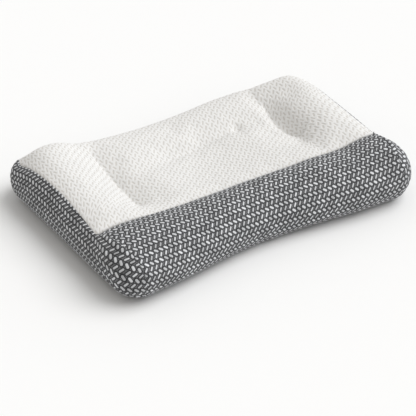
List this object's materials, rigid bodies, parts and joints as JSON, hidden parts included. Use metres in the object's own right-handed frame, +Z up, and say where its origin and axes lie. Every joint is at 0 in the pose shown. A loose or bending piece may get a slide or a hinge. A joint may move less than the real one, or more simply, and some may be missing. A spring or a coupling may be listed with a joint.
{
  "type": "ergonomic pillow",
  "caption": "Filled ergonomic pillow with a raised neck roll, end bolsters, a sunken middle and sewn channels, in white and grey herringbone knit.",
  "frame": {"origin": "middle of the flat underside, on the surface that the pillow lies on", "axes": "+X along the length, +Y from the neck roll to the back edge, +Z up"},
  "size_m": [0.7, 0.49, 0.1204],
  "materials": {
    "white_knit": "soft white knit with a raised herringbone of short strokes, matt",
    "grey_knit": "dark grey knit with light grey herringbone strokes, matt with a faint sheen",
    "underside_cloth": "plain fine grey cloth, matt"
  },
  "bodies": {
    "root": {"top_panel": "white_knit", "neck_roll": "grey_knit", "side_border": "grey_knit", "underside": "underside_cloth"}
  },
  "joints": []
}
